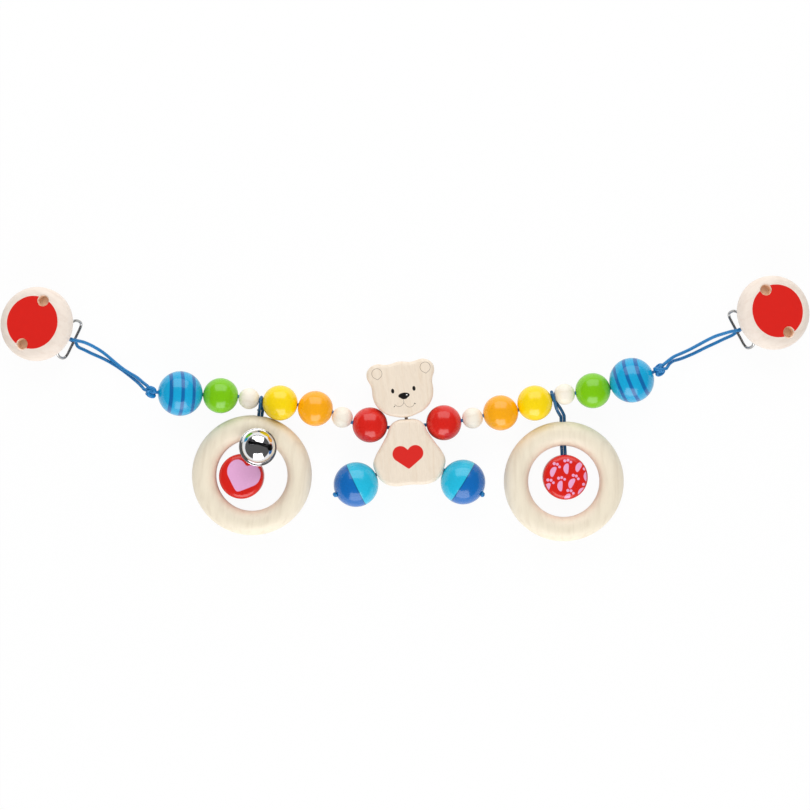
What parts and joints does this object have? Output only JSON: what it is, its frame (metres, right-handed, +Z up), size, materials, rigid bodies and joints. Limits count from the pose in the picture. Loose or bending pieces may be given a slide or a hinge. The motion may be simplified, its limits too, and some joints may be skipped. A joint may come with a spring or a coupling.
{
  "type": "pram chain toy",
  "caption": "Wooden pram chain laid flat: a bear with turning head between strings of beads, ringed pendants with discs and a jingle bell, and a clip at each end",
  "frame": {"origin": "middle of the flat back of the bear's body, on the table that the toy lies on", "axes": "+X along the chain to the picture's right, +Y towards the bear's head, +Z up from the table"},
  "size_m": [0.4625, 0.1517, 0.0304],
  "materials": {
    "pale_wood": "satin",
    "red_lacquer": "gloss",
    "orange_lacquer": "gloss",
    "yellow_lacquer": "gloss",
    "green_lacquer": "gloss",
    "blue_lacquer": "gloss",
    "cord": "braided",
    "chrome": "polished",
    "steel": "plated",
    "pad": "matte"
  },
  "bodies": {
    "bear_torso": {"bear_body": "pale_wood", "centre_cord": "cord", "neck_cord": "cord"},
    "head": {"bear_head": "pale_wood"},
    "left_leg": {"left_leg_cord": "cord"},
    "right_leg": {"right_leg_cord": "cord"},
    "left_pendant": {"left_pendant_cord": "cord"},
    "right_pendant": {"right_pendant_cord": "cord"},
    "left_ring": {"left_ring": "pale_wood"},
    "right_ring": {"right_ring": "pale_wood"},
    "left_disc_hanger": {"left_disc_cord": "cord"},
    "right_disc_hanger": {"right_disc_cord": "cord"},
    "bell": {"bell_eyelet": "chrome", "bell_lower_shell": "chrome", "bell_upper_shell": "chrome"},
    "left_clip": {"left_clip_dome": "red_lacquer", "left_clip_pad": "pad", "left_clip_pin": "steel", "left_clip_plate": "steel"},
    "right_clip": {"right_clip_dome": "red_lacquer", "right_clip_pad": "pad", "right_clip_pin": "steel", "right_clip_plate": "steel"},
    "left_lever": {"left_clip_lever": "steel"},
    "right_lever": {"right_clip_lever": "steel"},
    "left_bail": {"left_clip_bail": "steel"},
    "right_bail": {"right_clip_bail": "steel"},
    "left_loop": {"left_loop_cord": "cord"},
    "right_loop": {"right_loop_cord": "cord"},
    "left_link_1": {"left_cord_link_1": "cord"},
    "right_link_1": {"right_cord_link_1": "cord"},
    "left_link_2": {"left_cord_link_2": "cord"},
    "right_link_2": {"right_cord_link_2": "cord"},
    "left_link_3": {"left_cord_link_3": "cord"},
    "right_link_3": {"right_cord_link_3": "cord"},
    "left_link_4": {"left_cord_link_4": "cord"},
    "right_link_4": {"right_cord_link_4": "cord"},
    "left_link_5": {"left_cord_link_5": "cord", "left_knot": "cord"},
    "right_link_5": {"right_cord_link_5": "cord", "right_knot": "cord"},
    "left_disc": {"left_disc": "red_lacquer"},
    "right_disc": {"right_disc": "red_lacquer"},
    "left_foot": {"left_foot": "blue_lacquer"},
    "right_foot": {"right_foot": "blue_lacquer"},
    "bell_pellet": {"bell_pellet": "steel"},
    "left_red": {"left_red_bead": "red_lacquer"},
    "right_red": {"right_red_bead": "red_lacquer"},
    "left_small_inner": {"left_small_inner_bead": "pale_wood"},
    "right_small_inner": {"right_small_inner_bead": "pale_wood"},
    "left_orange": {"left_orange_bead": "orange_lacquer"},
    "right_orange": {"right_orange_bead": "orange_lacquer"},
    "left_yellow": {"left_yellow_bead": "yellow_lacquer"},
    "right_yellow": {"right_yellow_bead": "yellow_lacquer"},
    "left_small_outer": {"left_small_outer_bead": "pale_wood"},
    "right_small_outer": {"right_small_outer_bead": "pale_wood"},
    "left_green": {"left_green_bead": "green_lacquer"},
    "right_green": {"right_green_bead": "green_lacquer"},
    "left_striped": {"left_striped_bead": "blue_lacquer"},
    "right_striped": {"right_striped_bead": "blue_lacquer"}
  },
  "joints": [
    {"name": "head_turn", "type": "hinge", "parent": "bear_torso", "child": "head", "pos_m": [-0.00142, 0.0198, 0.009], "axis": [-0.1002, 0.995, 0], "range_deg": [-8, 8]},
    {"name": "left_leg_swing", "type": "hinge", "parent": "bear_torso", "child": "left_leg", "pos_m": [-0.01815, -0.0128, 0.009], "axis": [0, 0, -1], "range_deg": [-10, 10]},
    {"name": "right_leg_swing", "type": "hinge", "parent": "bear_torso", "child": "right_leg", "pos_m": [0.01976, -0.01015, 0.009], "axis": [0, 0, 1], "range_deg": [-10, 10]},
    {"name": "left_pendant_swing", "type": "hinge", "parent": "left_link_3", "child": "left_pendant", "pos_m": [-0.08451, 0.02913, 0.01061], "axis": [-0.9934, 0.1044, 0.0467], "range_deg": [-90, 170]},
    {"name": "right_pendant_swing", "type": "hinge", "parent": "right_link_3", "child": "right_pendant", "pos_m": [0.08227, 0.03221, 0.01061], "axis": [-0.9681, -0.2503, -0.0125], "range_deg": [-90, 170]},
    {"name": "left_ring_twist", "type": "hinge", "parent": "left_pendant", "child": "left_ring", "pos_m": [-0.08991, -0.01347, 0.007], "axis": [0.1392, 0.9903, 0], "range_deg": [-70, 70]},
    {"name": "right_ring_twist", "type": "hinge", "parent": "right_pendant", "child": "right_ring", "pos_m": [0.08897, -0.01699, 0.007], "axis": [-0.0175, 0.9998, 0], "range_deg": [-70, 70]},
    {"name": "left_disc_swing", "type": "hinge", "parent": "left_ring", "child": "left_disc_hanger", "pos_m": [-0.08707, 0.00673, 0.007], "axis": [0, 0, 1], "range_deg": [-2, 8]},
    {"name": "right_disc_swing", "type": "hinge", "parent": "right_ring", "child": "right_disc_hanger", "pos_m": [0.08862, 0.00341, 0.007], "axis": [0, 0, 1], "range_deg": [-12, 12]},
    {"name": "bell_swing", "type": "hinge", "parent": "left_disc_hanger", "child": "bell", "pos_m": [-0.08976, 0.00029, 0.007], "axis": [-0.3849, -0.9229, 0], "range_deg": [-6, 12]},
    {"name": "left_clip_swing", "type": "hinge", "parent": "left_bail", "child": "left_clip", "pos_m": [-0.19676, 0.06558, 0.01151], "axis": [0.4352, 0.9003, 0], "range_deg": [-30, 50]},
    {"name": "right_clip_swing", "type": "hinge", "parent": "right_bail", "child": "right_clip", "pos_m": [0.19288, 0.07133, 0.01151], "axis": [0.4741, -0.8805, 0], "range_deg": [-30, 50]},
    {"name": "left_lever_open", "type": "hinge", "parent": "left_clip", "child": "left_lever", "pos_m": [-0.21926, 0.07646, 0.00262], "axis": [0.4352, 0.9003, 0], "range_deg": [0, 75]},
    {"name": "right_lever_open", "type": "hinge", "parent": "right_clip", "child": "right_lever", "pos_m": [0.21489, 0.08318, 0.00262], "axis": [0.4741, -0.8805, 0], "range_deg": [0, 75]},
    {"name": "left_bail_swing", "type": "hinge", "parent": "left_loop", "child": "left_bail", "pos_m": [-0.19242, 0.06348, 0.00451], "axis": [0.4352, 0.9003, 0], "range_deg": [-40, 40]},
    {"name": "right_bail_swing", "type": "hinge", "parent": "right_loop", "child": "right_bail", "pos_m": [0.18865, 0.06905, 0.00451], "axis": [0.4741, -0.8805, 0], "range_deg": [-40, 40]},
    {"name": "left_loop_swing", "type": "hinge", "parent": "left_link_5", "child": "left_loop", "pos_m": [-0.14667, 0.03421, 0.01658], "axis": [0, 0, -1], "range_deg": [-12, 25]},
    {"name": "right_loop_swing", "type": "hinge", "parent": "right_link_5", "child": "right_loop", "pos_m": [0.14255, 0.0468, 0.01658], "axis": [0, 0, 1], "range_deg": [-25, 25]},
    {"name": "left_bend_1", "type": "hinge", "parent": "bear_torso", "child": "left_link_1", "pos_m": [-0.0115, 0.01388, 0.009], "axis": [0.1392, 0.9903, 0], "range_deg": [-12, 8]},
    {"name": "right_bend_1", "type": "hinge", "parent": "bear_torso", "child": "right_link_1", "pos_m": [0.00946, 0.01535, 0.009], "axis": [0.1219, -0.9925, 0], "range_deg": [-12, 12]},
    {"name": "left_bend_2", "type": "hinge", "parent": "left_link_1", "child": "left_link_2", "pos_m": [-0.03239, 0.01682, 0.01116], "axis": [0, 0, -1], "range_deg": [-15, 5]},
    {"name": "right_bend_2", "type": "hinge", "parent": "right_link_1", "child": "right_link_2", "pos_m": [0.03039, 0.01792, 0.01116], "axis": [0, 0, 1], "range_deg": [-12, 15]},
    {"name": "left_bend_3", "type": "hinge", "parent": "left_link_2", "child": "left_link_3", "pos_m": [-0.0634, 0.02691, 0.00962], "axis": [0, 0, 1], "range_deg": [-25, 10]},
    {"name": "right_bend_3", "type": "hinge", "parent": "right_link_2", "child": "right_link_3", "pos_m": [0.06273, 0.02392, 0.00962], "axis": [0, 0, -1], "range_deg": [-10, 8]},
    {"name": "left_bend_4", "type": "hinge", "parent": "left_link_3", "child": "left_link_4", "pos_m": [-0.08451, 0.02913, 0.01061], "axis": [0.1908, 0.9816, 0], "range_deg": [-3, 8]},
    {"name": "right_bend_4", "type": "hinge", "parent": "right_link_3", "child": "right_link_4", "pos_m": [0.08227, 0.03221, 0.01061], "axis": [0.1045, -0.9945, 0], "range_deg": [-8, 8]},
    {"name": "left_bend_5", "type": "hinge", "parent": "left_link_4", "child": "left_link_5", "pos_m": [-0.11778, 0.03269, 0.00987], "axis": [0, 0, -1], "range_deg": [-16, 16]},
    {"name": "right_bend_5", "type": "hinge", "parent": "right_link_4", "child": "right_link_5", "pos_m": [0.11554, 0.03643, 0.00987], "axis": [0, 0, 1], "range_deg": [-25, 6]},
    {"name": "left_disc_spin", "type": "hinge", "parent": "left_disc_hanger", "child": "left_disc", "pos_m": [-0.09575, -0.01407, 0.007], "axis": [-0.3849, -0.9229, 0], "range_deg": [-40, 30]},
    {"name": "right_disc_spin", "type": "hinge", "parent": "right_disc_hanger", "child": "right_disc", "pos_m": [0.08968, -0.01457, 0.007], "axis": [0.0587, -0.9983, 0], "continuous": true},
    {"name": "left_foot_spin", "type": "hinge", "parent": "left_leg", "child": "left_foot", "pos_m": [-0.03007, -0.01861, 0.0128], "axis": [-0.864, -0.4214, 0.2754], "continuous": true},
    {"name": "right_foot_spin", "type": "hinge", "parent": "right_leg", "child": "right_foot", "pos_m": [0.03101, -0.01718, 0.0128], "axis": [0.8153, -0.5094, 0.2754], "continuous": true},
    {"name": "bell_pellet_roll", "type": "hinge", "parent": "bell", "child": "bell_pellet", "pos_m": [-0.08555, 0.00292, 0.02063], "axis": [-0.3849, -0.9229, 0], "range_deg": [-60, 60]},
    {"name": "left_red_spin", "type": "hinge", "parent": "left_link_1", "child": "left_red", "pos_m": [-0.02214, 0.01538, 0.0101], "axis": [-0.9851, 0.1384, 0.1019], "continuous": true},
    {"name": "right_red_spin", "type": "hinge", "parent": "right_link_1", "child": "right_red", "pos_m": [0.02012, 0.01666, 0.0101], "axis": [0.9874, 0.1212, 0.1019], "continuous": true},
    {"name": "left_small_inner_spin", "type": "hinge", "parent": "left_link_2", "child": "left_small_inner", "pos_m": [-0.03794, 0.01977, 0.01087], "axis": [-0.882, 0.469, -0.0467], "continuous": true},
    {"name": "right_small_inner_spin", "type": "hinge", "parent": "right_link_2", "child": "right_small_inner", "pos_m": [0.03652, 0.01933, 0.01087], "axis": [0.9733, 0.2247, -0.0467], "continuous": true},
    {"name": "left_orange_spin", "type": "hinge", "parent": "left_link_2", "child": "left_orange", "pos_m": [-0.05338, 0.02478, 0.0101], "axis": [-0.9771, 0.2077, -0.0467], "continuous": true},
    {"name": "right_orange_spin", "type": "hinge", "parent": "right_link_2", "child": "right_orange", "pos_m": [0.05262, 0.02232, 0.0101], "axis": [0.9866, 0.1563, -0.0467], "continuous": true},
    {"name": "left_yellow_spin", "type": "hinge", "parent": "left_link_3", "child": "left_yellow", "pos_m": [-0.07358, 0.02798, 0.0101], "axis": [-0.9934, 0.1044, 0.0467], "continuous": true},
    {"name": "right_yellow_spin", "type": "hinge", "parent": "right_link_3", "child": "right_yellow", "pos_m": [0.07216, 0.02792, 0.0101], "axis": [0.9195, 0.3903, 0.0467], "continuous": true},
    {"name": "left_small_outer_spin", "type": "hinge", "parent": "left_link_4", "child": "left_small_outer", "pos_m": [-0.09128, 0.03045, 0.01046], "axis": [-0.9814, 0.1908, -0.022], "continuous": true},
    {"name": "right_small_outer_spin", "type": "hinge", "parent": "right_link_4", "child": "right_small_outer", "pos_m": [0.08913, 0.03293, 0.01046], "axis": [0.9943, 0.1045, -0.022], "continuous": true},
    {"name": "left_green_spin", "type": "hinge", "parent": "left_link_4", "child": "left_green", "pos_m": [-0.10755, 0.03216, 0.0101], "axis": [-0.9984, 0.0523, -0.022], "continuous": true},
    {"name": "right_green_spin", "type": "hinge", "parent": "right_link_4", "child": "right_green", "pos_m": [0.1054, 0.035, 0.0101], "axis": [0.99, 0.1391, -0.022], "continuous": true},
    {"name": "left_striped_spin", "type": "hinge", "parent": "left_link_5", "child": "left_striped", "pos_m": [-0.13038, 0.03335, 0.0128], "axis": [-0.9728, 0.051, 0.2259], "continuous": true},
    {"name": "right_striped_spin", "type": "hinge", "parent": "right_link_5", "child": "right_striped", "pos_m": [0.12732, 0.04095, 0.0128], "axis": [0.9094, 0.3491, 0.2259], "continuous": true}
  ]
}
